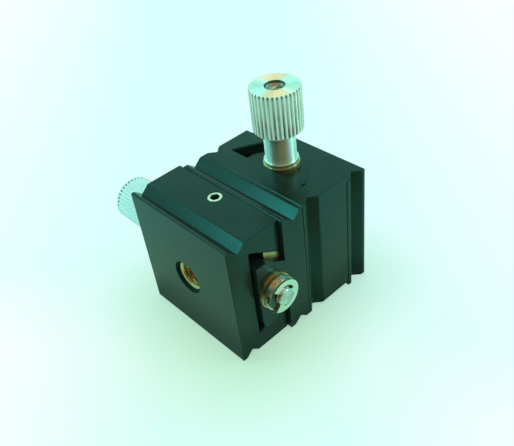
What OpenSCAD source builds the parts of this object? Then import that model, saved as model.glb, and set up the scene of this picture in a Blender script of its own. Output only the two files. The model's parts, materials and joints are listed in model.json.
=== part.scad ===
// Two-axis dovetail translation stage: two equal slides stacked back to front
// and turned a quarter turn, each driven by a lead screw with a knurled knob.
// X is the first slide's travel, Z is the second slide's travel and Y runs
// from the base's mounting face to the platform. The origin is the middle of
// that mounting face.

/* [Body] */
// Side of the square bodies
body_w = 31.75; // [30:0.05:44]
// Thickness of a base, from its front face to its sliding face
base_t = 13.8; // [13.2:0.1:15]
// Thickness of a carriage without its dovetail
carriage_t = 6.1; // [6:0.05:9]
// Thickness of a base's edge in front of its groove
base_edge = 0.65; // [0.45:0.05:1]
// Thickness of a carriage's lip in front of its groove
lip_t = 1.0; // [0.8:0.1:1.6]
// Width of the V-grooves along the sides
groove_w = 4.25; // [2.5:0.05:4.3]
// Depth of the V-grooves
groove_depth = 1.85; // [1:0.05:2.2]
// Size of the broken edges
edge_break = 0.15; // [0.05:0.05:0.2]

/* [Dovetail] */
// Distance from a base's front face to the floor of its slot
slot_floor = 5.6; // [5.4:0.05:5.8]
// Width of the slot at its floor
slot_w = 23.2; // [22.4:0.1:24]
// Distance of the slot's middle from the body's middle, towards the gib
slot_shift = 0.55; // [0.4:0.05:0.8]
// Angle between a flank and the slot's floor
flank_angle = 60; // [56:1:64]
// Gap between the slot's floor and the dovetail's tip
tip_gap = 0.4; // [0.2:0.05:0.8]
// Running gap on the flanks
slide_gap = 0.06; // [0.03:0.01:0.12]
// Running gap between a base and its carriage
face_gap = 0.15; // [0.1:0.05:0.3]
// Radius of the dovetail's plain corner
tip_radius = 2.0; // [0.5:0.1:2.4]
// Bevel round the ends of a slot and of its dovetail
end_bevel = 0.25; // [0.1:0.05:0.3]
// Lead-in bevel of the gib's flank at a dovetail's far end
lead_bevel = 1.4; // [0.6:0.1:1.6]
// Half width of the dovetail's tip on the gib's side
gib_side_half = 8.3; // [7.6:0.1:8.6]
// Full travel of each slide
travel = 6.35; // [4:0.05:7]
// Place of the first carriage, from its middle position
x_rest = 1.2; // [-2:0.05:2]
// Place of the second carriage, from its middle position
z_rest = -1.5; // [-2:0.05:2]

/* [Gib] */
// Thickness of the gib strip
gib_t = 1.6; // [1.2:0.05:1.8]
// Width of the gib strip, measured along the stack
gib_w = 4.2; // [3.2:0.1:4.4]
// Length of the gib strip
gib_len = 29; // [24:0.5:29.5]
// Distance of the gib's far end inside the base's end
gib_inset = 0.2; // [0.1:0.05:0.4]
// Fit gap around the gib
gib_gap = 0.05; // [0.03:0.01:0.1]
// Diameter of the gib's set screw
gib_screw_d = 3.5; // [3:0.1:4.2]
// Distance from the base's sliding face to the set screw's axis
gib_screw_set = 2.8; // [2.5:0.1:3.1]
// Depth of the set screw's end below the body's side
gib_screw_sink = 0.15; // [0.05:0.05:0.6]
// Width of the set screw's hexagon socket across its flats
gib_socket = 2.0; // [1.2:0.1:2.1]
// Depth of the hexagon socket
gib_socket_depth = 1.8; // [1:0.1:2.4]

/* [Drive] */
// Distance from a base's front face to the lead screw's axis
lead_y = 10; // [9.95:0.05:10.3]
// Outside diameter of the lead screw's thread
lead_d = 4.76; // [4.3:0.02:5]
// Diameter of the lead screw's plain journals
journal_d = 4; // [3.6:0.1:4.2]
// Running gap of the lead screw in its nut, on the radius
nut_gap = 0.05; // [0.03:0.01:0.09]
// Running gap of a journal in its bush, on the radius
bush_gap = 0.03; // [0.02:0.01:0.08]
// Outside diameter of a bush
bush_d = 6.6; // [5.8:0.1:6.8]
// Length of a bush inside the carriage
bush_len = 4.5; // [3:0.1:5]
// Diameter of a bush's flange
flange_d = 8.4; // [7.6:0.1:8.4]
// Thickness of the knob bush's flange
flange_t = 1.2; // [0.8:0.05:1.6]
// Thickness of the end bush's flange
end_flange_t = 0.6; // [0.4:0.05:1.2]
// Gap of pressed and screwed pieces in their holes, on the radius
seat_gap = 0.02; // [0.01:0.01:0.04]
// Diameter of the thrust washer under the knob
thrust_d = 8.0; // [7:0.1:8.4]
// Thickness of the thrust washer
thrust_t = 0.8; // [0.4:0.05:1.2]
// End play of the lead screw between its bushes
end_play = 0.05; // [0.02:0.01:0.1]

/* [Nut and mounting] */
// Diameter of the nut inside the carriage's pocket
nut_d = 8; // [7:0.1:8.6]
// Diameter of the nut's head inside the base
nut_head_d = 9; // [8.6:0.1:11]
// Wall between the lead screw and the nut's end
nut_wall = 0.6; // [0.5:0.05:0.7]
// Thickness of the base's front lip over the nut
front_lip = 0.8; // [0.6:0.05:1.2]
// Diameter of the front lip's hole
lip_hole_d = 7; // [6.6:0.1:7.6]
// Diameter of the countersink in the front lip
lip_sink_d = 8.4; // [7.7:0.1:8.5]
// Tapping diameter of the mounting thread
thread_d = 5.1; // [5:0.05:5.4]
// Length of the mounting thread's full wall
thread_len = 4.6; // [3:0.1:4.8]
// Lead-in chamfer of the mounting thread
thread_chamfer = 0.4; // [0.2:0.05:0.6]
// Gap between the nut and its pocket
pocket_gap = 0.4; // [0.3:0.05:0.6]
// Clearance hole for a mounting screw in a carriage
plate_hole_d = 6.7; // [6.5:0.1:7.4]
// Thickness of a carriage behind the screw head's seat
plate_web = 3.6; // [3:0.1:4]
// Diameter of the screw head's seat
head_seat_d = 10.6; // [10:0.1:10.8]
// Diameter of the joining screw's head
head_d = 9.6; // [8.4:0.1:9.8]
// Thickness of the joining screw's head
head_t = 2.6; // [1.8:0.1:2.7]
// Width of the joining screw's hexagon socket across its flats
head_socket = 4; // [3:0.1:4.4]
// Depth of that socket
head_socket_depth = 1.5; // [1:0.1:1.6]
// Length of the joining screw under its head
joining_len = 8.6; // [6:0.1:9]

/* [Knob] */
// Outside diameter of the knurled knob
knob_d = 11.4; // [10:0.1:16]
// Length of the knurled knob
knob_len = 10.25; // [8:0.05:16]
// Number of knurl teeth
knurl_count = 36; // [24:2:48]
// Depth of the knurl
knurl_depth = 0.42; // [0.3:0.02:0.5]
// Chamfer at the knob's outer end
knob_chamfer = 0.15; // [0.1:0.05:0.2]
// Chamfer at the knob's inner end
knob_back_chamfer = 0.35; // [0.2:0.05:0.6]
// Diameter of the knob's hub
hub_d = 7.2; // [6.4:0.1:8.2]
// Length of the knob's hub
hub_len = 7.55; // [4.4:0.05:10]
// Diameter of the recess in the knob's end
recess_d = 4.6; // [4.2:0.1:6]
// Depth of the recess in the knob's end
recess_depth = 2.2; // [1.6:0.1:3]
// Thickness of the web that the knob's screw clamps
knob_web = 1.4; // [1:0.1:2]

/* [Knob screw] */
// Diameter of the screw that holds the knob on the lead screw
knob_screw_d = 2.6; // [2:0.1:2.8]
// Length of that screw inside the lead screw
knob_screw_grip = 5; // [3:0.1:7]
// Diameter of its head
knob_screw_head_d = 4.1; // [3.4:0.1:4.1]
// Thickness of its head
knob_screw_head_t = 1.2; // [0.8:0.1:1.5]
// Width of its screwdriver slot
driver_slot_w = 1.1; // [0.6:0.1:1.4]
// Depth of its screwdriver slot
driver_slot_depth = 0.6; // [0.4:0.05:0.7]

/* [Far end] */
// Diameter of the split spring washer
spring_d = 8.0; // [7:0.1:8.4]
// Thickness of the spring washer
spring_t = 1.1; // [0.5:0.05:1.4]
// Distance between the spring washer's two ends along its axis
spring_lift = 0.6; // [0.1:0.05:0.7]
// Gap between the spring washer and the lead screw, on the radius
spring_play = 0.15; // [0.1:0.05:0.3]
// Width of the spring washer's split
spring_split = 0.6; // [0.3:0.1:1.2]
// Angle of the split about the lead screw
spring_turn = 24; // [0:1:90]
// Diameter of the flat washer under the clip
end_washer_d = 7.3; // [6.6:0.1:8]
// Thickness of the flat washer
end_washer_t = 0.35; // [0.25:0.05:0.6]
// Outside diameter of the retaining clip
clip_d = 7.9; // [7.4:0.1:8.6]
// Thickness of the retaining clip
clip_t = 0.55; // [0.4:0.05:0.8]
// Width of the clip's ring
clip_ring = 1.25; // [0.9:0.05:1.4]
// Width of the clip's three prongs
clip_prong = 1.5; // [1:0.1:1.8]
// Half angle of the clip's open side
clip_mouth = 46; // [42:1:48]
// Angle of the two front prongs from the clip's back
clip_prong_turn = 116; // [112:1:118]
// Diameter of the clip's groove in the lead screw
clip_groove_d = 3.2; // [2.8:0.1:3.4]
// Gap between the clip and its groove, along the lead screw
clip_gap = 0.04; // [0.02:0.01:0.1]
// Length of the lead screw past its clip
tail_len = 0.5; // [0.4:0.1:2]
// Chamfer of the lead screw's far end
tail_chamfer = 0.2; // [0.1:0.05:0.3]

/* [Hidden] */

$fn = 64;
body_half = body_w / 2;
carriage_front = base_t + face_gap;
stage_t = carriage_front + carriage_t;
slot_half = slot_w / 2;
flank_cos = sin(flank_angle);
flank_run = 1 / tan(flank_angle);
tip_y = slot_floor + tip_gap;
nut_end = lead_y + lead_d / 2 + nut_wall;
pocket_end = nut_end + pocket_gap;
pocket_w = nut_d + 2 * pocket_gap;
pocket_len = nut_d + travel + 2 * pocket_gap;
head_floor = stage_t - plate_web;
thread_start = front_lip + thread_chamfer;
gib_back = base_t - gib_inset;
gib_front = gib_back - gib_w;
gib_screw_y = base_t - gib_screw_set;
thrust_from = body_half + flange_t + end_play;
hub_from = thrust_from + thrust_t;
knob_from = hub_from + hub_len;
knob_to = knob_from + knob_len;
lead_knob_end = knob_to - recess_depth - knob_web;
spring_from = body_half + end_flange_t + end_play;
end_washer_from = spring_from + spring_t + spring_lift;
clip_from = end_washer_from + end_washer_t;
clip_to = clip_from + clip_t;
tail_end = clip_to + tail_len;
thread_half = body_half - bush_len - end_play;
screw_hole_d = knob_screw_d + 2 * seat_gap;
cut = 1;
overlap = 0.01;
knob_at_left = -1;
knob_at_right = 1;
body_color = "#1d2a29";
brass_color = "#b8913f";
nickel_color = "#ccd6d3";
steel_color = "#8f9a98";

// Distance of the gib's flank from the body's middle, less a gap measured square to it
function gib_flank(y, gap) = slot_half + slot_shift - (y - slot_floor) * flank_run - gap / flank_cos;
// The same for the plain flank on the other side
function plain_flank(y, gap) = gib_flank(y, gap) - 2 * slot_shift;
// Depth at which the dovetail's gib side meets its flank
function gib_corner_y(gap) = slot_floor + (gib_flank(slot_floor, gap) - gib_side_half) / flank_run;
// The same run of points on the other side, in reverse order
function mirrored(side) = [for (i = [len(side) - 1 : -1 : 0]) [side[i].x, -side[i].y]];

// Outline with each corner cut back by the same length along both its sides
function toward(from, to, length) = from + length * (to - from) / norm(to - from);
function broken(points, length) = [
  for (i = [0 : len(points) - 1], step = [-1, 1])
    toward(points[i], points[(i + step + len(points)) % len(points)], length)
];
// The same for an open run of points, whose two ends stay
function broken_chain(points, length) = concat(
  [points[0]],
  [for (i = [1 : len(points) - 2], step = [-1, 1]) toward(points[i], points[i + step], length)],
  [points[len(points) - 1]]
);

// Solid whose outline lies in Y and Z, drawn through the body along X
module across(length) {
  rotate([90, 0, 90]) linear_extrude(length, center = true) children();
}

// Square bars on their corners, along the edges that a run of points has at the given ends of the body
module end_bevels(points, size, ends) {
  bar = size * sqrt(2);
  for (end = ends, i = [1 : len(points) - 1]) {
    run = points[i] - points[i - 1];
    translate([end * body_half, points[i - 1].x, points[i - 1].y])
      rotate([atan2(run.y, run.x), 0, 0]) rotate([0, 45, 0])
        translate([-bar / 2, 0, -bar / 2]) cube([bar, norm(run), bar]);
  }
}

// Square block between two Y planes, with every outer edge broken
module broken_block(front, back) {
  corners = [[-1, -1], [1, -1], [1, 1], [-1, 1]];
  middle = (front + back) / 2;
  half_depth = (back - front) / 2;
  intersection() {
    translate([0, back, 0]) rotate([90, 0, 0]) linear_extrude(back - front)
      polygon(broken(body_half * corners, 2 * edge_break));
    translate([0, middle, 0]) linear_extrude(body_w, center = true)
      polygon(broken([for (c = corners) [body_half * c.x, half_depth * c.y]], edge_break));
  }
}

// Round rod or hole along Y
module rod_y(from, to, d) {
  translate([0, from, 0]) rotate([-90, 0, 0]) cylinder(h = to - from, d = d);
}

// Places a turned piece on the lead screw's axis, with the knob's end along +X or -X
module on_lead(side) {
  translate([0, lead_y, 0]) rotate([0, 0, side > 0 ? 0 : 180]) children();
}

// Turned piece about X: its outline holds radius and place along X
module turned(points) {
  rotate([0, 90, 0]) rotate_extrude() polygon(points);
}

module base_body() {
  groove_mid = base_edge + groove_w / 2;
  groove_end = base_edge + groove_w;
  side = [
    [0, body_half], [base_edge, body_half], [groove_mid, body_half - groove_depth],
    [groove_end, body_half], [base_t, body_half]
  ];
  slot = [
    [base_t, gib_flank(base_t, 0)], [slot_floor, gib_flank(slot_floor, 0)],
    [slot_floor, -plain_flank(slot_floor, 0)], [base_t, -plain_flank(base_t, 0)]
  ];
  difference() {
    intersection() {
      across(body_w) polygon(broken(concat(side, slot, mirrored(side)), edge_break));
      broken_block(0, base_t);
    }
    rod_y(-cut, slot_floor + cut, lip_hole_d);
    rod_y(front_lip, slot_floor + cut, nut_head_d + 2 * seat_gap);
    rotate([-90, 0, 0]) translate([0, 0, -cut])
      cylinder(h = (lip_sink_d - lip_hole_d) / 2 + cut, d1 = lip_sink_d + 2 * cut, d2 = lip_hole_d);
    translate([0, gib_screw_y, 0]) cylinder(h = body_w, d = gib_screw_d + 2 * seat_gap);
    end_bevels(slot, end_bevel, [-1, 1]);
  }
}

module drive_nut_body() {
  bore_end = thread_start + thread_len;
  difference() {
    union() {
      rod_y(front_lip, slot_floor, nut_head_d);
      rod_y(slot_floor, nut_end, nut_d);
    }
    rod_y(front_lip - cut, bore_end, thread_d);
    translate([0, front_lip, 0]) rotate([-90, 0, 0])
      cylinder(h = thread_chamfer, d1 = thread_d + 2 * thread_chamfer, d2 = thread_d);
    translate([0, lead_y, 0]) rotate([0, 90, 0])
      cylinder(h = 2 * nut_d, d = lead_d + 2 * nut_gap, center = true);
  }
}

module gib_body(side) {
  outer = gib_gap;
  inner = gib_gap + gib_t;
  far_end = body_half - gib_inset;
  translate([side * (gib_len / 2 - far_end), 0, 0]) across(gib_len) polygon([
    [gib_front, gib_flank(gib_front, outer)], [gib_back, gib_flank(gib_back, outer)],
    [gib_back, gib_flank(gib_back, inner)], [gib_front, gib_flank(gib_front, inner)]
  ]);
}

// Set screw with a hexagon socket; its blunt point bears on the gib
module gib_screw_body() {
  head_z = body_half - gib_screw_sink;
  bearing_y = gib_screw_y - gib_screw_d / 4;
  point_z = gib_flank(bearing_y, gib_gap) + gib_gap;
  cone = gib_screw_d / 4;
  translate([0, gib_screw_y, 0]) difference() {
    rotate_extrude() polygon([
      [0, point_z], [gib_screw_d / 2 - cone, point_z], [gib_screw_d / 2, point_z + cone],
      [gib_screw_d / 2, head_z - edge_break], [gib_screw_d / 2 - edge_break, head_z], [0, head_z]
    ]);
    translate([0, 0, head_z - gib_socket_depth])
      cylinder(h = gib_socket_depth + cut, d = gib_socket / cos(30), $fn = 6);
  }
}

module carriage_body(side) {
  groove_from = carriage_front + lip_t;
  groove_mid = groove_from + groove_w / 2;
  groove_end = groove_from + groove_w;
  gib_side_gap = gib_gap + gib_t + slide_gap;
  plain_corner = plain_flank(tip_y, slide_gap);
  round_centre = [tip_y + tip_radius, tip_radius / tan(flank_angle / 2) - plain_corner];
  round_steps = 6;
  plate = [
    [carriage_front, body_half], [groove_from, body_half], [groove_mid, body_half - groove_depth],
    [groove_end, body_half], [stage_t, body_half]
  ];
  gib_neck = [carriage_front, gib_flank(carriage_front, gib_side_gap)];
  plain_neck = [carriage_front, -plain_flank(carriage_front, slide_gap)];
  gib_corner = [gib_corner_y(gib_side_gap), gib_side_half];
  dovetail = [
    for (step = [0 : round_steps])
      let (a = 360 - flank_angle - (180 - flank_angle) * step / round_steps)
        round_centre + tip_radius * [cos(a), sin(a)],
    [tip_y, gib_side_half],
    gib_corner
  ];
  difference() {
    intersection() {
      across(body_w) polygon(concat(
        broken_chain(concat([gib_neck], plate, mirrored(plate), [plain_neck]), edge_break), dovetail
      ));
      broken_block(tip_y, stage_t);
    }
    translate([-pocket_len / 2, tip_y - cut, -pocket_w / 2])
      cube([pocket_len, pocket_end - tip_y + cut, pocket_w]);
    rod_y(pocket_end - overlap, head_floor, head_seat_d);
    rod_y(head_floor - cut, stage_t + cut, plate_hole_d);
    translate([0, lead_y, 0]) rotate([0, 90, 0]) {
      cylinder(h = 2 * body_w, d = lead_d + 2 * pocket_gap, center = true);
      for (end = [-1, 1]) translate([0, 0, end * body_half])
        cylinder(h = 2 * bush_len, d = bush_d + 2 * seat_gap, center = true);
    }
    end_bevels(concat([plain_neck], dovetail, [gib_neck]), end_bevel, [-1, 1]);
    intersection() {
      end_bevels([toward(gib_corner, gib_neck, -lead_bevel), toward(gib_neck, gib_corner, -lead_bevel)],
        lead_bevel, [-side]);
      rotate([-90, 0, 0]) cylinder(h = carriage_front, r = body_w);
    }
  }
}

// Flanged bush in a carriage's end, with its flange outside
module bush_body(flange) {
  bore = journal_d / 2 + bush_gap;
  turned([
    [bore, body_half - bush_len], [bush_d / 2, body_half - bush_len], [bush_d / 2, body_half],
    [flange_d / 2, body_half], [flange_d / 2, body_half + flange], [bore, body_half + flange]
  ]);
}

// Lead screw, threaded between its two journals, grooved for its clip and tapped for the knob's screw
module lead_screw_body() {
  journal_r = journal_d / 2;
  groove_r = clip_groove_d / 2;
  lead_r = lead_d / 2;
  chamfer = lead_r - journal_r;
  tapped_to = lead_knob_end - knob_screw_grip - pocket_gap;
  turned([
    [0, -tail_end], [journal_r - tail_chamfer, -tail_end], [journal_r, -tail_end + tail_chamfer],
    [journal_r, -clip_to - clip_gap], [groove_r, -clip_to - clip_gap],
    [groove_r, -clip_from + clip_gap], [journal_r, -clip_from + clip_gap],
    [journal_r, -thread_half], [lead_r, -thread_half + chamfer],
    [lead_r, thread_half - chamfer], [journal_r, thread_half],
    [journal_r, lead_knob_end], [screw_hole_d / 2, lead_knob_end],
    [screw_hole_d / 2, tapped_to], [0, tapped_to]
  ]);
}

// Outline of the knurl: flat crests between V-shaped furrows
module knurl_outline() {
  crest = knob_d / 2;
  root = crest - knurl_depth;
  pitch = 360 / knurl_count;
  polygon([
    for (i = [0 : knurl_count - 1], point = [[root, 0], [crest, 0.35], [crest, 0.65]])
      point[0] * [cos((i + point[1]) * pitch), sin((i + point[1]) * pitch)]
  ]);
}

module knob_body() {
  shaft_hole = journal_d / 2 + seat_gap;
  crest = knob_d / 2;
  difference() {
    union() {
      turned([[0, hub_from], [hub_d / 2, hub_from], [hub_d / 2, knob_from + cut], [0, knob_from + cut]]);
      intersection() {
        translate([knob_from, 0, 0]) rotate([90, 0, 90]) linear_extrude(knob_len) knurl_outline();
        turned([
          [0, knob_from], [crest - knob_back_chamfer, knob_from], [crest, knob_from + knob_back_chamfer],
          [crest, knob_to - knob_chamfer], [crest - knob_chamfer, knob_to], [0, knob_to]
        ]);
      }
    }
    turned([
      [0, hub_from - cut], [shaft_hole, hub_from - cut], [shaft_hole, lead_knob_end], [0, lead_knob_end]
    ]);
    turned([
      [0, lead_knob_end - cut], [screw_hole_d / 2, lead_knob_end - cut],
      [screw_hole_d / 2, knob_to - recess_depth], [recess_d / 2, knob_to - recess_depth],
      [recess_d / 2, knob_to + cut], [0, knob_to + cut]
    ]);
  }
}

module knob_screw_body() {
  seat = knob_to - recess_depth;
  face = seat + knob_screw_head_t;
  difference() {
    turned([
      [0, lead_knob_end - knob_screw_grip], [knob_screw_d / 2, lead_knob_end - knob_screw_grip],
      [knob_screw_d / 2, seat], [knob_screw_head_d / 2, seat], [knob_screw_head_d / 2, face - edge_break],
      [knob_screw_head_d / 2 - edge_break, face], [0, face]
    ]);
    translate([face - driver_slot_depth, -knob_screw_head_d, -driver_slot_w / 2])
      cube([driver_slot_depth + cut, 2 * knob_screw_head_d, driver_slot_w]);
  }
}

module thrust_washer_body() {
  hole = journal_d / 2 + bush_gap;
  turned([
    [hole, thrust_from], [thrust_d / 2, thrust_from],
    [thrust_d / 2, thrust_from + thrust_t], [hole, thrust_from + thrust_t]
  ]);
}

// Split spring washer: two half rings, tilted apart about the side opposite the split
module spring_washer_body() {
  hole = journal_d / 2 + spring_play;
  rim = spring_d / 2;
  tilt = asin(spring_lift / (2 * spring_d));
  translate([-(spring_from + end_washer_from) / 2, 0, 0]) rotate([spring_turn, 0, 0])
    for (half = [-1, 1])
      translate([0, -rim, 0]) rotate([0, 0, half * tilt]) translate([0, rim, 0]) difference() {
        turned([[hole, -spring_t / 2], [rim, -spring_t / 2], [rim, spring_t / 2], [hole, spring_t / 2]]);
        translate([-spring_t, -spring_d, -half * (spring_d / 2 + overlap) - spring_d / 2])
          cube([2 * spring_t, 2 * spring_d, spring_d]);
        translate([-spring_t, 0, -spring_split / 2]) cube([2 * spring_t, spring_d, spring_split]);
      }
}

module end_washer_body() {
  hole = journal_d / 2 + bush_gap;
  rim = end_washer_d / 2;
  turned([[hole, -clip_from], [rim, -clip_from], [rim, -end_washer_from], [hole, -end_washer_from]]);
}

// Retaining clip: a ring open on one side, with three prongs that reach into the lead screw's groove
module end_clip_body() {
  rim = clip_d / 2;
  ring_inside = rim - clip_ring;
  mouth = clip_d * [cos(clip_mouth), sin(clip_mouth)];
  translate([-clip_to, 0, 0]) rotate([90, 0, 90]) difference() {
    union() {
      difference() {
        cylinder(h = clip_t, r = rim);
        translate([0, 0, -cut]) cylinder(h = clip_t + 2 * cut, r = ring_inside);
        translate([0, 0, -cut]) linear_extrude(clip_t + 2 * cut)
          polygon([[0, 0], [mouth.x, -mouth.y], [mouth.x, mouth.y]]);
      }
      for (turn = [-clip_prong_turn, 0, clip_prong_turn])
        rotate([0, 0, 180 + turn]) translate([0, -clip_prong / 2, 0])
          cube([ring_inside + overlap, clip_prong, clip_t]);
    }
    translate([0, 0, -cut]) cylinder(h = clip_t + 2 * cut, r = clip_groove_d / 2 + seat_gap);
  }
}

// Low-head screw that holds the second base to the first carriage
module joining_screw_body() {
  shank_d = thread_d - 2 * seat_gap;
  difference() {
    union() {
      rod_y(head_floor - head_t, head_floor, head_d);
      rod_y(head_floor - cut, head_floor + joining_len, shank_d);
    }
    translate([0, head_floor - head_t - cut, 0]) rotate([-90, 0, 0])
      cylinder(h = head_socket_depth + cut, d = head_socket / cos(30), $fn = 6);
  }
}

// The first carriage moves along X on the first base
module first_carriage() { translate([x_rest, 0, 0]) children(); }
// The second slide stands on the first carriage, turned a quarter turn
module second_base() { first_carriage() translate([0, stage_t, 0]) rotate([0, -90, 0]) children(); }
module second_carriage() { second_base() translate([z_rest, 0, 0]) children(); }
module first_spindle() { first_carriage() on_lead(knob_at_left) children(); }
module second_spindle() { second_carriage() on_lead(knob_at_right) children(); }

module x_base() { color(body_color) base_body(); }
module x_drive_nut() { color(brass_color) drive_nut_body(); }
module x_gib() { color(brass_color) gib_body(knob_at_left); }
module x_gib_screw() { color(steel_color) gib_screw_body(); }
module x_carriage() { color(body_color) first_carriage() carriage_body(knob_at_left); }
module x_knob_bush() { color(brass_color) first_spindle() bush_body(flange_t); }
module x_end_bush() { color(brass_color) first_spindle() rotate([0, 0, 180]) bush_body(end_flange_t); }
module joining_screw() { color(steel_color) first_carriage() joining_screw_body(); }
module x_lead_screw() { color(steel_color) first_spindle() lead_screw_body(); }
module x_knob() { color(nickel_color) first_spindle() knob_body(); }
module x_knob_screw() { color(steel_color) first_spindle() knob_screw_body(); }
module x_thrust_washer() { color(nickel_color) first_spindle() thrust_washer_body(); }
module x_spring_washer() { color(nickel_color) first_spindle() spring_washer_body(); }
module x_end_washer() { color(nickel_color) first_spindle() end_washer_body(); }
module x_end_clip() { color(steel_color) first_spindle() end_clip_body(); }
module z_base() { color(body_color) second_base() base_body(); }
module z_drive_nut() { color(brass_color) second_base() drive_nut_body(); }
module z_gib() { color(brass_color) second_base() gib_body(knob_at_right); }
module z_gib_screw() { color(steel_color) second_base() gib_screw_body(); }
module z_carriage() { color(body_color) second_carriage() carriage_body(knob_at_right); }
module z_knob_bush() { color(brass_color) second_spindle() bush_body(flange_t); }
module z_end_bush() { color(brass_color) second_spindle() rotate([0, 0, 180]) bush_body(end_flange_t); }
module z_lead_screw() { color(steel_color) second_spindle() lead_screw_body(); }
module z_knob() { color(nickel_color) second_spindle() knob_body(); }
module z_knob_screw() { color(steel_color) second_spindle() knob_screw_body(); }
module z_thrust_washer() { color(nickel_color) second_spindle() thrust_washer_body(); }
module z_spring_washer() { color(nickel_color) second_spindle() spring_washer_body(); }
module z_end_washer() { color(nickel_color) second_spindle() end_washer_body(); }
module z_end_clip() { color(steel_color) second_spindle() end_clip_body(); }

x_base();
x_drive_nut();
x_gib();
x_gib_screw();
x_carriage();
x_knob_bush();
x_end_bush();
joining_screw();
x_lead_screw();
x_knob();
x_knob_screw();
x_thrust_washer();
x_spring_washer();
x_end_washer();
x_end_clip();
z_base();
z_drive_nut();
z_gib();
z_gib_screw();
z_carriage();
z_knob_bush();
z_end_bush();
z_lead_screw();
z_knob();
z_knob_screw();
z_thrust_washer();
z_spring_washer();
z_end_washer();
z_end_clip();
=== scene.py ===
import json
import math

import bmesh
import bpy
from mathutils import Matrix, Vector


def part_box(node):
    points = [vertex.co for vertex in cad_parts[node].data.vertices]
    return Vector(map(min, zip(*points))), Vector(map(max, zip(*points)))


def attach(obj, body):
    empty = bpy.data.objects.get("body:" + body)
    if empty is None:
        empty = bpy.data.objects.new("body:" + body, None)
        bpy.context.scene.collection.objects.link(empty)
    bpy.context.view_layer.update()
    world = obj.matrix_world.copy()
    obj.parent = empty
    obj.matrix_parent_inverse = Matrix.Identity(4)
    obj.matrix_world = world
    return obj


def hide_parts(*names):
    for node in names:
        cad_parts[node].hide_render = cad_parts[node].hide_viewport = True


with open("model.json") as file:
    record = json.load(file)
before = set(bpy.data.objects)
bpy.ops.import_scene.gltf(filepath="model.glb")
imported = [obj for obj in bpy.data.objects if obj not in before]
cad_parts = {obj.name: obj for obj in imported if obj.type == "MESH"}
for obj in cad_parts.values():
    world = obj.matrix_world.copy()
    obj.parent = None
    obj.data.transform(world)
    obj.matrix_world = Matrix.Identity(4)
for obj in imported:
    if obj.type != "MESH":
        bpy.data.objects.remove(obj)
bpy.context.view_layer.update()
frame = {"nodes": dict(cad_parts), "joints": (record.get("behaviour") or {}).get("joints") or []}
nodes = frame["nodes"]
scene = bpy.context.scene
MM = 0.001
X_AXIS, Y_AXIS, Z_AXIS = 0, 1, 2

# Camera: the photograph's place and viewing angle, in the part's frame
CAMERA_PLACE = Vector((89.619, -50.439, 94.744)) * MM
CAMERA_RIGHT = Vector((0.68565, 0.72050, -0.10373))
CAMERA_UP = Vector((-0.40260, 0.49407, 0.77059))
CAMERA_BACK = Vector((0.60646, -0.48659, 0.62884))
SENSOR = 36.0
LENS = 44.05
NEAREST, FARTHEST = 0.005, 20

camera_data = bpy.data.cameras.new("camera")
camera_data.sensor_width = SENSOR
camera_data.lens = LENS
camera_data.clip_start = NEAREST
camera_data.clip_end = FARTHEST
camera = bpy.data.objects.new("camera", camera_data)
scene.collection.objects.link(camera)
turn = Matrix((CAMERA_RIGHT, CAMERA_UP, CAMERA_BACK)).transposed().to_4x4()
camera.matrix_world = Matrix.Translation(CAMERA_PLACE) @ turn
scene.camera = camera
scene.view_settings.view_transform = "Standard"


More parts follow.
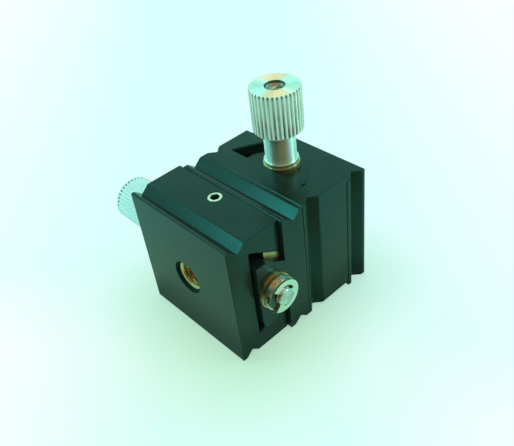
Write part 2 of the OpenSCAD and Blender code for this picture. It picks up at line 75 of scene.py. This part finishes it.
class Graph:
    """Small helper that builds the node tree of one material or of the world."""

    # Places of the colour sockets among those of a Mix node
    MIX_A, MIX_B, MIX_RESULT = 6, 7, 2

    def __init__(self, owner, output):
        owner.use_nodes = True
        self.owner = owner
        self.tree = owner.node_tree
        self.tree.nodes.clear()
        self.output = self.tree.nodes.new(output)

    def node(self, kind, **settings):
        made = self.tree.nodes.new(kind)
        for key, value in settings.items():
            setattr(made, key, value)
        return made

    def link(self, source, target):
        self.tree.links.new(source, target)

    def principled(self, **sockets):
        made = self.node("ShaderNodeBsdfPrincipled")
        for key, value in sockets.items():
            made.inputs[key.replace("_", " ")].default_value = value
        self.link(made.outputs["BSDF"], self.output.inputs["Surface"])
        return made

    def math(self, operation, a, b=0.0):
        made = self.node("ShaderNodeMath", operation=operation)
        for socket, value in zip(made.inputs, (a, b)):
            if isinstance(value, (int, float)):
                socket.default_value = value
            else:
                self.link(value, socket)
        return made.outputs[0]

    def vector(self, operation, a, b=(0, 0, 0)):
        made = self.node("ShaderNodeVectorMath", operation=operation)
        for socket, value in zip(made.inputs, (a, b)):
            if isinstance(value, tuple):
                socket.default_value = value
            else:
                self.link(value, socket)
        return made.outputs["Value" if operation in ("DOT_PRODUCT", "LENGTH") else "Vector"]

    def dot(self, vector, direction):
        return self.vector("DOT_PRODUCT", vector, tuple(Vector(direction).normalized()))

    def remap(self, value, low, high, to_low=0.0, to_high=1.0):
        made = self.node("ShaderNodeMapRange", clamp=True)
        self.link(value, made.inputs["Value"])
        limits = {"From Min": low, "From Max": high, "To Min": to_low, "To Max": to_high}
        for key, number in limits.items():
            made.inputs[key].default_value = number
        return made.outputs["Result"]

    def place(self, scale=(1, 1, 1), shift=(0, 0, 0)):
        """Object coordinates, scaled and then shifted."""
        where = self.node("ShaderNodeTexCoord")
        mapping = self.node("ShaderNodeMapping")
        mapping.inputs["Scale"].default_value = scale
        mapping.inputs["Location"].default_value = shift
        self.link(where.outputs["Object"], mapping.inputs["Vector"])
        return mapping.outputs["Vector"]

    def noise(self, vector, scale, detail):
        made = self.node("ShaderNodeTexNoise")
        self.link(vector, made.inputs["Vector"])
        made.inputs["Scale"].default_value = scale
        made.inputs["Detail"].default_value = detail
        return made.outputs["Fac"]

    def mix(self, factor, a, b):
        made = self.node("ShaderNodeMix", data_type="RGBA")
        self.link(factor, made.inputs["Factor"])
        for index, value in ((self.MIX_A, a), (self.MIX_B, b)):
            if isinstance(value, tuple):
                made.inputs[index].default_value = (*value, 1)
            else:
                self.link(value, made.inputs[index])
        return made.outputs[self.MIX_RESULT]

    def mix_shader(self, factor, a, b):
        made = self.node("ShaderNodeMixShader")
        for socket, source in zip(made.inputs, (factor, a, b)):
            self.link(source, socket)
        return made.outputs[0]

    def ramp(self, factor, tones):
        """Colours by place along a ramp from 0 to 1."""
        made = self.node("ShaderNodeValToRGB")
        stops = made.color_ramp.elements
        while len(stops) < len(tones):
            stops.new(0.5)
        for stop, (place, tone) in zip(stops, tones.items()):
            stop.position = place
            stop.color = (*tone, 1)
        self.link(factor, made.inputs["Fac"])
        return made.outputs["Color"]

    def bump(self, height, strength, distance, normal=None):
        made = self.node("ShaderNodeBump")
        made.inputs["Strength"].default_value = strength
        made.inputs["Distance"].default_value = distance
        self.link(height, made.inputs["Height"])
        if normal is not None:
            self.link(normal, made.inputs["Normal"])
        return made.outputs["Normal"]

    def normal(self):
        return self.node("ShaderNodeNewGeometry").outputs["Normal"]

    def edge(self, radius, low, high):
        """1 on sharp edges, 0 on flats: how far a rounded normal leaves the true one."""
        rounded = self.node("ShaderNodeBevel", samples=6)
        rounded.inputs["Radius"].default_value = radius
        same = self.vector("DOT_PRODUCT", rounded.outputs["Normal"], self.normal())
        return self.remap(self.math("SUBTRACT", 1.0, same), low, high)

    def hollow(self, distance, low, high):
        """1 deep inside a narrow hole, 0 in the open."""
        near = self.node("ShaderNodeAmbientOcclusion", samples=8, only_local=True)
        near.inputs["Distance"].default_value = distance
        return self.math("SUBTRACT", 1.0, self.remap(near.outputs["AO"], low, high))

    def radius(self, vector, axis):
        """Distance from an axis through the origin, and the place along it."""
        parts = self.node("ShaderNodeSeparateXYZ")
        self.link(vector, parts.inputs[0])
        sides = [parts.outputs[i] for i in range(3) if i != axis]
        squares = [self.math("MULTIPLY", side, side) for side in sides]
        return self.math("SQRT", self.math("ADD", *squares)), parts.outputs[axis]


def material_graph(name):
    return Graph(bpy.data.materials.new(name), "ShaderNodeOutputMaterial")


# Most of a noise texture's values lie in this range
NOISE_RANGE = (0.3, 0.7)

# Anodised skin: tones and roughness by a faint cloud, and paler along its edges, a painted highlight that
# also stands for wear
SKIN_IOR = 1.40
SKIN_SHEEN = (0.30, 1.0, 0.86, 1)
SKIN_TONES = ((0.008, 0.016, 0.012), (0.011, 0.022, 0.017))
SKIN_ROUGH = (0.22, 0.27)
GRAIN_ROUGH = (-0.03, 0.04)
GRAIN_STRENGTH, MARK_STRENGTH = 0.12, 0.10
SKIN_RELIEF = 0.01 * MM
MARK_STRETCH = (1, 24, 24)
WEAR_AND_HIGHLIGHT_TONE = (0.09, 0.20, 0.17)
WEAR_AND_HIGHLIGHT_WIDTH = 0.16 * MM
WEAR_AND_HIGHLIGHT_TURN = (0.02, 0.22)
PATCH_RANGE = (0.35, 0.7)
WEAR_AND_HIGHLIGHT_SHARE = (0.15, 0.6)
# Painted shade: the hole in the base's front is painted near black down to the nut, and made rougher
BORE_SHADE_TONE = (0.004, 0.004, 0.003)
BORE_RADIUS = 4.1 * MM
BORE_DEPTH = 2.0 * MM
BORE_FADE = 0.1 * MM
BORE_ROUGHER = 0.5


def anodised():
    """Black anodised aluminium: a dark teal skin with a cyan sheen."""
    s = material_graph("black_anodised")
    skin = s.principled(IOR=SKIN_IOR, Specular_Tint=SKIN_SHEEN)
    cloud = s.noise(s.place(), scale=160, detail=4)
    grain = s.noise(s.place(), scale=5200, detail=2)
    marks = s.noise(s.place(scale=MARK_STRETCH), scale=420, detail=3)
    # Painted highlight along the sharp edges, in patches, partly wear as well
    patches = s.remap(s.noise(s.place(), scale=900, detail=3), *PATCH_RANGE, *WEAR_AND_HIGHLIGHT_SHARE)
    wear_and_highlight = s.math("MULTIPLY", s.edge(WEAR_AND_HIGHLIGHT_WIDTH, *WEAR_AND_HIGHLIGHT_TURN), patches)
    radius, depth = s.radius(s.place(), Y_AXIS)
    # Painted shade inside the bore, where the hole is dark
    bore = s.math("MULTIPLY", s.remap(radius, BORE_RADIUS, BORE_RADIUS + BORE_FADE, 1.0, 0.0),
                  s.remap(depth, BORE_DEPTH, BORE_DEPTH + BORE_FADE, 1.0, 0.0))
    tone = s.mix(wear_and_highlight, s.mix(s.remap(cloud, *NOISE_RANGE), *SKIN_TONES), WEAR_AND_HIGHLIGHT_TONE)
    s.link(s.mix(bore, tone, BORE_SHADE_TONE), skin.inputs["Base Color"])
    rough = s.math("ADD", s.remap(cloud, *NOISE_RANGE, *SKIN_ROUGH),
                   s.remap(grain, *NOISE_RANGE, *GRAIN_ROUGH))
    rough = s.math("ADD", rough, s.math("MULTIPLY", bore, BORE_ROUGHER))
    s.link(rough, skin.inputs["Roughness"])
    relief = s.bump(grain, GRAIN_STRENGTH, SKIN_RELIEF)
    s.link(s.bump(marks, MARK_STRENGTH, SKIN_RELIEF, relief), skin.inputs["Normal"])
    return s.owner


# Turned metal: stains darken it, and its edges are brighter, a painted highlight that also stands for rubbing
STAIN_RANGE = (0.35, 0.72)
STAIN_ROUGHER = 0.07
RING_ROUGH = (-0.04, 0.05)
RING_STRENGTH = 0.25
RING_RELIEF = 0.006 * MM
RING_LAY = 0.25
RIM_TONE = (0.93, 0.97, 0.95)
RIM_WIDTH = 0.10 * MM
RIM_TURN = (0.03, 0.3)
RIM_SHARE = 0.5
END_COSINES = (0.6, 0.8)
# Painted shade, in hollows and at the ends of a knurl's furrows
PAINTED_SHADE = (0.03, 0.055, 0.02)
PIT_OPEN = (0.30, 0.65)
# Knurls: frosted outside their root; the left one is painted paler and colder, as painted light
KNURL_TONES = {
    X_AXIS: ((0.76, 1.0, 1.0), (0.68, 0.95, 0.94)),
    Z_AXIS: ((0.86, 1.0, 0.88), (0.77, 0.95, 0.79)),
}
KNURL_LENGTH = 10.25 * MM
KNURL_ROOT = 5.2 * MM
FROST_FADE = 0.05 * MM
FROST_ROUGHER = 0.16
FROST_METALLIC = 0.2
# Painted shade in a knurl's furrows: uneven, and less of it towards the outer end
KNURL_OPEN = (0.56, 0.90)
SHADED_OUTSIDE = 0.4
STREAK_STRETCH = 0.3
STREAK_RANGE = (0.38, 0.58)
STREAK_SHARE = (0.45, 1.0)
# Painted shade as dark notches where the furrows end, measured back from the outer end, and outwards from the
# root
NOTCH_START = (0.9 * MM, 0.45 * MM)
NOTCH_STOP = (0.03 * MM, 0.02 * MM)
NOTCH_DEPTH = (0.15 * MM, 0.42 * MM)
NOTCH_SHARE = 0.9


def knurl_shade(s, tone, axis, radius, along, end, shade_width):
    """The tone of a knurl, with painted shade in the furrows if they have a width, and at their outer ends.
    """
    outward = s.math("ABSOLUTE", along)
    if shade_width:
        shaded = s.remap(outward, end - KNURL_LENGTH, end, 1.0, SHADED_OUTSIDE)
        stretch = tuple(STREAK_STRETCH if i == axis else 1.0 for i in range(3))
        streaks = s.noise(s.place(scale=stretch), scale=700, detail=2)
        shaded = s.math("MULTIPLY", shaded, s.remap(streaks, *STREAK_RANGE, *STREAK_SHARE))
        tone = s.mix(s.math("MULTIPLY", s.hollow(shade_width, *KNURL_OPEN), shaded), tone, PAINTED_SHADE)
    start, full = (end - back for back in NOTCH_START)
    fading, gone = (end - back for back in NOTCH_STOP)
    notch = s.math("MULTIPLY", s.remap(outward, start, full), s.remap(outward, fading, gone, 1.0, 0.0))
    floor_radius, crest_radius = (KNURL_ROOT + rise for rise in NOTCH_DEPTH)
    furrow = s.remap(radius, floor_radius, crest_radius, NOTCH_SHARE, 0.0)
    return s.mix(s.math("MULTIPLY", notch, furrow), tone, PAINTED_SHADE)


def turned_metal(name, tones, axis, centre, rough, stretch=0.9, shade_width=None, shaded_face=None, knurl_end=None):
    """Lathe-turned metal: fine rings about an axis stretch its reflections.

    Hollows as wide as the shade width get painted shade. The flat ends may get a painted shade tone of their
    own. A knurl has its outer end at the place knurl_end along the axis.
    """
    s = material_graph(name)
    metal = s.principled(Metallic=1.0, Anisotropic=stretch, Anisotropic_Rotation=RING_LAY)
    lay = s.node("ShaderNodeTangent", direction_type="RADIAL", axis="XYZ"[axis])
    s.link(lay.outputs["Tangent"], metal.inputs["Tangent"])
    radius, along = s.radius(s.place(shift=tuple(-c for c in centre)), axis)
    ring = s.node("ShaderNodeCombineXYZ")
    s.link(radius, ring.inputs[0])
    s.link(along, ring.inputs[1])
    rings = s.noise(ring.outputs[0], scale=7000, detail=2)
    stain = s.noise(s.place(), scale=500, detail=4)
    stained = s.remap(stain, *STAIN_RANGE)
    # Painted highlight along the edges, partly rubbing
    rim = s.math("MULTIPLY", s.edge(RIM_WIDTH, *RIM_TURN), RIM_SHARE)
    tone = s.mix(rim, s.mix(stained, *tones), RIM_TONE)
    dull = s.math("ADD", s.remap(rings, *NOISE_RANGE, *RING_ROUGH),
                  s.remap(stain, *NOISE_RANGE, rough, rough + STAIN_ROUGHER))
    # Painted shade on the flat ends
    if shaded_face:
        facing = s.math("ABSOLUTE", s.dot(s.normal(), tuple(float(i == axis) for i in range(3))))
        tone = s.mix(s.remap(facing, *END_COSINES), tone, shaded_face)
    if knurl_end:
        frost = s.remap(radius, KNURL_ROOT, KNURL_ROOT + FROST_FADE)
        tone = s.mix(frost, tone, s.mix(stained, *KNURL_TONES[axis]))
        tone = knurl_shade(s, tone, axis, radius, along, knurl_end, shade_width)
        dull = s.math("ADD", dull, s.math("MULTIPLY", frost, FROST_ROUGHER))
        s.link(s.remap(frost, 0.0, 1.0, 1.0, FROST_METALLIC), metal.inputs["Metallic"])
    # Painted shade in the hollows
    elif shade_width:
        tone = s.mix(s.hollow(shade_width, *PIT_OPEN), tone, PAINTED_SHADE)
    s.link(tone, metal.inputs["Base Color"])
    s.link(dull, metal.inputs["Roughness"])
    s.link(s.bump(rings, RING_STRENGTH, RING_RELIEF), metal.inputs["Normal"])
    return s.owner


NICKEL = ((0.86, 0.90, 0.78), (0.70, 0.78, 0.62))
FROSTED = ((0.92, 0.99, 0.92), (0.80, 0.90, 0.82))
BRASS = ((0.74, 0.56, 0.25), (0.60, 0.42, 0.16))
# Brass painted darker, as painted shade on the gib that sits in shadow
SHADED_BRASS = ((0.60, 0.45, 0.20), (0.46, 0.32, 0.12))
STEEL = ((0.68, 0.75, 0.70), (0.54, 0.60, 0.56))
# Painted shade for a washer's flat face, dark as in the clip's opening
SHADED_FACE_TONE = (0.07, 0.10, 0.08)
TURNED_ROUGH = 0.26
KNOB_ROUGH = 0.44
WASHER_ROUGH = 0.30
ORIGIN = (0, 0, 0)

joints = {j["name"]: j for j in frame["joints"]}
X_CENTRE, Z_CENTRE = (tuple(joints[f"{slide}_knob_turn"]["pos_m"]) for slide in "xz")
# Per slide: spindle axis, a point on it, the knob's end along it and the width of the knurl's furrows that
# get painted shade
SPINDLES = {
    "x": (X_AXIS, X_CENTRE, X_CENTRE[0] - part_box("x_knob")[0].x, None),
    "z": (Z_AXIS, Z_CENTRE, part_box("z_knob")[1].z - Z_CENTRE[2], 0.9 * MM),
}
finish = {
    "body": anodised(),
    "nut_brass": turned_metal("brass_nut", BRASS, Y_AXIS, ORIGIN, 0.22, stretch=0.4),
    "gib_brass": turned_metal("brass_gib", SHADED_BRASS, X_AXIS, X_CENTRE, 0.28, stretch=0.4),
    "y_steel": turned_metal("steel_y", STEEL, Y_AXIS, ORIGIN, TURNED_ROUGH),
    "clip_steel": turned_metal("steel_clip", NICKEL, X_AXIS, X_CENTRE, 0.24, stretch=0.0),
    # Painted shade in the gib screw's socket
    "socket_nickel": turned_metal("nickel_socket", NICKEL, Z_AXIS, ORIGIN, 0.28, stretch=0.0, shade_width=2.0 * MM),
}
for slide, (axis, point, end, furrow) in SPINDLES.items():
    for metal, tones in {"nickel": NICKEL, "brass": BRASS, "steel": STEEL}.items():
        finish[f"{slide}_{metal}"] = turned_metal(f"{metal}_{slide}", tones, axis, point, TURNED_ROUGH)
    finish[f"{slide}_washer"] = turned_metal(
        f"washer_{slide}", NICKEL, axis, point, WASHER_ROUGH, stretch=0.4, shaded_face=SHADED_FACE_TONE)
    finish[f"{slide}_knurl"] = turned_metal(
        f"nickel_knob_{slide}", FROSTED, axis, point, KNOB_ROUGH, shade_width=furrow, knurl_end=end)

# Finish by the node's name without its slide; those that follow the spindle take the slide's own
BY_NODE = {
    "base": "body", "carriage": "body", "drive_nut": "nut_brass", "gib": "gib_brass",
    "gib_screw": "socket_nickel", "knob_bush": "brass", "end_bush": "brass", "lead_screw": "steel",
    "knob": "knurl", "knob_screw": "nickel", "thrust_washer": "nickel", "spring_washer": "nickel",
    "end_washer": "washer", "end_clip": "clip_steel",
}


def dress(obj, material):
    obj.data.materials.clear()
    obj.data.materials.append(material)


for name, obj in nodes.items():
    slide, _, kind = name.partition("_")
    choice = BY_NODE.get(kind, "y_steel")
    dress(obj, finish[choice if choice in finish else f"{slide}_{choice}"])

# A real quarter inch thread, 20 to the inch, cut into a copy of the first nut; lengths along Y
THREAD_PITCH = 1.27 * MM
THREAD_MINOR, THREAD_MAJOR = 2.5 * MM, 3.175 * MM
THREAD_FROM, THREAD_TO = 0.95 * MM, 5.75 * MM
THREAD_RUN_OUT = 0.6 * MM
THREAD_STEPS = 56
THREAD_ROWS = 12
# The flanks' slope against the pitch, and the flat that they leave at the crest
FLANK_SLOPE, FLANK_FLAT = 2.6, 0.15
WELD = 1e-7
SHARP_ANGLE = math.radians(32)


def limited(value):
    return min(1.0, max(0.0, value))


def thread_radius(y, step):
    phase = (y / THREAD_PITCH - step / THREAD_STEPS) % 1.0
    rise = limited((0.5 - abs(phase - 0.5)) * FLANK_SLOPE - FLANK_FLAT)
    depth = limited((y - THREAD_FROM) / THREAD_RUN_OUT)
    return THREAD_MINOR + (THREAD_MAJOR - THREAD_MINOR) * rise * depth


def thread_cutter():
    """Closed rod about Y with a right-handed thread."""
    bm = bmesh.new()
    length = THREAD_TO - THREAD_FROM
    count = round(length / THREAD_PITCH * THREAD_ROWS)
    rings = []
    for i in range(count + 1):
        y = THREAD_FROM + length * i / count
        ring = []
        for step in range(THREAD_STEPS):
            angle = 2 * math.pi * step / THREAD_STEPS
            radius = thread_radius(y, step)
            ring.append(bm.verts.new((radius * math.sin(angle), y, radius * math.cos(angle))))
        rings.append(ring)
    for low, high in zip(rings, rings[1:]):
        for j in range(THREAD_STEPS):
            k = (j + 1) % THREAD_STEPS
            bm.faces.new((low[j], low[k], high[k], high[j]))
    bm.faces.new(list(reversed(rings[0])))
    bm.faces.new(rings[-1])
    bmesh.ops.recalc_face_normals(bm, faces=bm.faces)
    mesh = bpy.data.meshes.new("cutter")
    bm.to_mesh(mesh)
    bm.free()
    made = bpy.data.objects.new("cutter", mesh)
    scene.collection.objects.link(made)
    return made


def soften(mesh):
    """Smooth shading with sharp edges where the faces turn by more than the angle."""
    mesh.polygons.foreach_set("use_smooth", [True] * len(mesh.polygons))
    mesh.set_sharp_from_angle(angle=SHARP_ANGLE)


def cut_copy(name, node, cutter, body, material):
    """A copy of a CAD node with a cutter taken out of it, standing for that node."""
    mesh = nodes[node].data.copy()
    bm = bmesh.new()
    bm.from_mesh(mesh)
    bmesh.ops.remove_doubles(bm, verts=bm.verts, dist=WELD)
    bm.to_mesh(mesh)
    bm.free()
    made = bpy.data.objects.new(name, mesh)
    scene.collection.objects.link(made)
    cut = made.modifiers.new("cut", "BOOLEAN")
    cut.operation = "DIFFERENCE"
    cut.solver = "EXACT"
    cut.object = cutter
    bpy.context.view_layer.update()
    baked = bpy.data.meshes.new_from_object(made.evaluated_get(bpy.context.evaluated_depsgraph_get()))
    made.modifiers.clear()
    made.data = baked
    baked.name = name
    bpy.data.objects.remove(cutter)
    dress(made, material)
    soften(baked)
    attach(made, body)
    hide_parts(node)


cut_copy("threaded_nut", "x_drive_nut", thread_cutter(), "base", finish["nut_brass"])

# Floor: a pale sheet that meets the lower edges of the base and of the platform
base_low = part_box("x_base")[0]
plate_low, plate_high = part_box("z_carriage")
tilt = math.atan2(plate_low.z - base_low.z, plate_high.y - base_low.y)
FLOOR_HALF = 1.5
floor_mesh = bpy.data.meshes.new("floor")
corners = [(x * FLOOR_HALF, y * FLOOR_HALF, 0) for x, y in ((-1, -1), (1, -1), (1, 1), (-1, 1))]
floor_mesh.from_pydata(corners, [], [(0, 1, 2, 3)])
floor = bpy.data.objects.new("floor", floor_mesh)
scene.collection.objects.link(floor)
floor.matrix_world = Matrix.Translation((0, base_low.y, base_low.z)) @ Matrix.Rotation(tilt, 4, "X")

# Where the part covers the floor, in the floor's own frame
foot_end = (plate_high.y - base_low.y) / math.cos(tilt)
FOOT_MIDDLE = ((base_low.x + plate_high.x) / 2, foot_end / 2, 0)
FOOT_HALF = ((plate_high.x - base_low.x) / 2, foot_end / 2, 1)

# The sheet under light: painted shade as a faint darker mint cloud near the part, and an even tone far off
SHEET_TONES = ((0.60, 0.93, 0.68), (0.64, 0.95, 0.76))
SHEET_FAR = (0.72, 0.98, 0.95)
SHEET_RANGE = (0.35, 0.65)
SHEET_FADE = (0.03, 0.10)
# The paper's own tone, by the share of the reach from the part's middle, with painted shade in mint near the
# part
PAPER_MIDDLE = (0.005, 0.008, 0)
PAPER_REACH = 0.30
PAPER_TONES = {0.04: (0.66, 0.94, 0.72), 0.11: (0.70, 1.0, 0.93), 0.18: (0.72, 1.0, 1.0)}
# Painted light: it whitens to both sides of a tinted band through its middle, and sooner in the near corners
WHITE = (0.97, 1.0, 1.0)
ACROSS_BAND = (0.63, 0.78, 0)
WHITE_FADE = (0.035, 0.12)
NEAR_SIDE = (0.5, -0.87, 0)
NEAR_FADE = (-0.012, 0.02)
CORNER_FADE = (0.018, 0.06)
# As bright surfaces mirror it, by the share of the reach from the footprint: shade, then lit paper
MIRRORED_REACH = 0.06
MIRRORED_TONES = {0.03: (0.18, 0.36, 0.26), 0.13: (0.40, 0.82, 0.58), 0.6: (0.36, 0.95, 0.80)}
# Clear of the part it is darker in front, and olive towards the viewer, as the hubs mirror it
CLEAR_FADE = (0.014, 0.024)
FRONT_SIDE = (0.34, -0.94, 0)
FRONT_COSINES = (0.77, 0.91)
FRONT_TONE = (0.12, 0.24, 0.17)
VIEWER_SIDE = (0.94, -0.34, 0)
VIEWER_COSINES = (0.74, 0.87)
VIEWER_TONE = (0.32, 0.28, 0.06)
# The share of its own tone that the camera sees, less where the part's shadow falls
SHADOW_REACH = 0.018
OWN_SHARE = (0.55, 0.96)


def floor_finish():
    """Pale paper: painted shade in mint round the part, and painted light whiter far off.

    Part of its tone is its own, so shadows stay faint.
    """
    s = material_graph("pale_floor")
    path = s.node("ShaderNodeLightPath").outputs
    where = s.node("ShaderNodeTexCoord").outputs["Object"]
    outward = s.vector("SUBTRACT", where, PAPER_MIDDLE)
    distance = s.vector("LENGTH", outward)
    heading = s.vector("NORMALIZE", outward)
    past = s.vector("ABSOLUTE", s.vector("SUBTRACT", where, FOOT_MIDDLE))
    beside = s.vector("LENGTH", s.vector("MAXIMUM", s.vector("SUBTRACT", past, FOOT_HALF)))

    matt = s.node("ShaderNodeBsdfDiffuse")
    # Painted shade: a darker mint cloud near the part
    cloud = s.noise(s.place(), scale=30, detail=3)
    sheet = s.mix(s.remap(cloud, *SHEET_RANGE), *SHEET_TONES)
    s.link(s.mix(s.remap(distance, *SHEET_FADE), sheet, SHEET_FAR), matt.inputs["Color"])

    # Painted light: whiter to the sides and in the near corners
    aside = s.math("ABSOLUTE", s.dot(outward, ACROSS_BAND))
    nearer = s.remap(s.dot(outward, NEAR_SIDE), *NEAR_FADE)
    corner = s.math("MULTIPLY", s.remap(aside, *CORNER_FADE), nearer)
    white = s.math("MAXIMUM", s.remap(aside, *WHITE_FADE), corner)
    paper = s.mix(white, s.ramp(s.math("DIVIDE", distance, PAPER_REACH), PAPER_TONES), WHITE)

    clear = s.remap(beside, *CLEAR_FADE)
    mirrored = s.ramp(s.math("DIVIDE", beside, MIRRORED_REACH), MIRRORED_TONES)
    for side, cosines, tone in (
            (FRONT_SIDE, FRONT_COSINES, FRONT_TONE),
            (VIEWER_SIDE, VIEWER_COSINES, VIEWER_TONE)):
        sector = s.math("MULTIPLY", s.remap(s.dot(heading, side), *cosines), clear)
        mirrored = s.mix(sector, mirrored, tone)

    glow = s.node("ShaderNodeEmission")
    s.link(s.mix(path["Is Glossy Ray"], paper, mirrored), glow.inputs["Color"])
    by_camera = s.math("MULTIPLY", path["Is Camera Ray"], s.remap(beside, 0.0, SHADOW_REACH, *OWN_SHARE))
    own = s.math("ADD", by_camera, path["Is Glossy Ray"])
    s.link(s.mix_shader(own, matt.outputs[0], glow.outputs[0]), s.output.inputs["Surface"])
    return s.owner


floor_mesh.materials.append(floor_finish())

# Room: evenly pale where it gives light, and white to the camera
ROOM_RISE = (0.0, 0.8)
ROOM_TONES = ((0.80, 1.0, 0.90), (0.70, 1.0, 0.96))
ROOM_STRENGTH = 0.78
ROOM_SEEN = (0.96, 1.0, 1.0, 1)
# In mirrors it is dimmer and browner low on the photographer's side, and golden overhead
MIRROR_TONES = ((0.44, 1.0, 0.84), (0.36, 1.0, 0.90))
DIM_SIDE = (0.46, -0.89, 0)
DIM_COSINES = (0.31, 0.64)
DIM_HEIGHTS = (0.55, 0.85)
DIM_TONE = (0.05, 0.10, 0.07)
BROWN_SIDE = (0.94, -0.34, 0)
BROWN_COSINES = (0.74, 0.87)
BROWN_HEIGHTS = (0.15, 0.35)
BROWN_TONE = (0.42, 0.28, 0.05)
GOLD_HEIGHTS = (0.74, 0.85)
GOLD_TONE = (1.0, 0.55, 0.16)


def room():
    s = Graph(bpy.data.worlds.new("room"), "ShaderNodeOutputWorld")
    where = s.node("ShaderNodeTexCoord").outputs["Generated"]
    heading = s.vector("NORMALIZE", s.vector("MULTIPLY", where, (1, 1, 0)))
    height = s.dot(where, (0, 0, 1))
    rise = s.remap(height, *ROOM_RISE)
    mirrored = s.mix(rise, *MIRROR_TONES)
    for side, cosines, heights, tone in (
            (DIM_SIDE, DIM_COSINES, DIM_HEIGHTS, DIM_TONE),
            (BROWN_SIDE, BROWN_COSINES, BROWN_HEIGHTS, BROWN_TONE)):
        low = s.remap(height, *heights, 1.0, 0.0)
        sector = s.math("MULTIPLY", s.remap(s.dot(heading, side), *cosines), low)
        mirrored = s.mix(sector, mirrored, tone)
    mirrored = s.mix(s.remap(height, *GOLD_HEIGHTS), mirrored, GOLD_TONE)
    lit, glossy, seen = (s.node("ShaderNodeBackground") for _ in range(3))
    s.link(s.mix(rise, *ROOM_TONES), lit.inputs["Color"])
    lit.inputs["Strength"].default_value = ROOM_STRENGTH
    s.link(mirrored, glossy.inputs["Color"])
    seen.inputs["Color"].default_value = ROOM_SEEN
    path = s.node("ShaderNodeLightPath").outputs
    shown = s.mix_shader(path["Is Glossy Ray"], lit.outputs[0], glossy.outputs[0])
    shown = s.mix_shader(path["Is Camera Ray"], shown, seen.outputs[0])
    s.link(shown, s.output.inputs["Surface"])
    return s.owner


scene.world = room()

# Broad soft lamps: place, width, power and colour, all aimed at the part's middle
LAMP_TARGET = Vector((0.0, 0.02, 0.0))
LAMPS = {
    "key": ((-0.226, -0.246, 0.278), 0.10, 0.24, (0.24, 0.97, 1.0)),
    "side": ((-0.40, -0.03, 0.20), 0.25, 0.30, (0.36, 1.0, 0.98)),
    "rim": ((0.31, 0.32, 0.14), 0.13, 0.40, (0.60, 1.0, 0.98)),
    "top": ((-0.10, 0.16, 0.42), 0.36, 0.24, (1.0, 0.76, 0.40)),
}
for name, (place, width, power, colour) in LAMPS.items():
    lamp_data = bpy.data.lights.new(name, "AREA")
    lamp_data.shape = "DISK"
    lamp_data.size = width
    lamp_data.energy = power
    lamp_data.color = colour
    lamp = bpy.data.objects.new(name, lamp_data)
    scene.collection.objects.link(lamp)
    aim = (LAMP_TARGET - Vector(place)).to_track_quat("-Z", "Y")
    lamp.matrix_world = Matrix.Translation(place) @ aim.to_matrix().to_4x4()
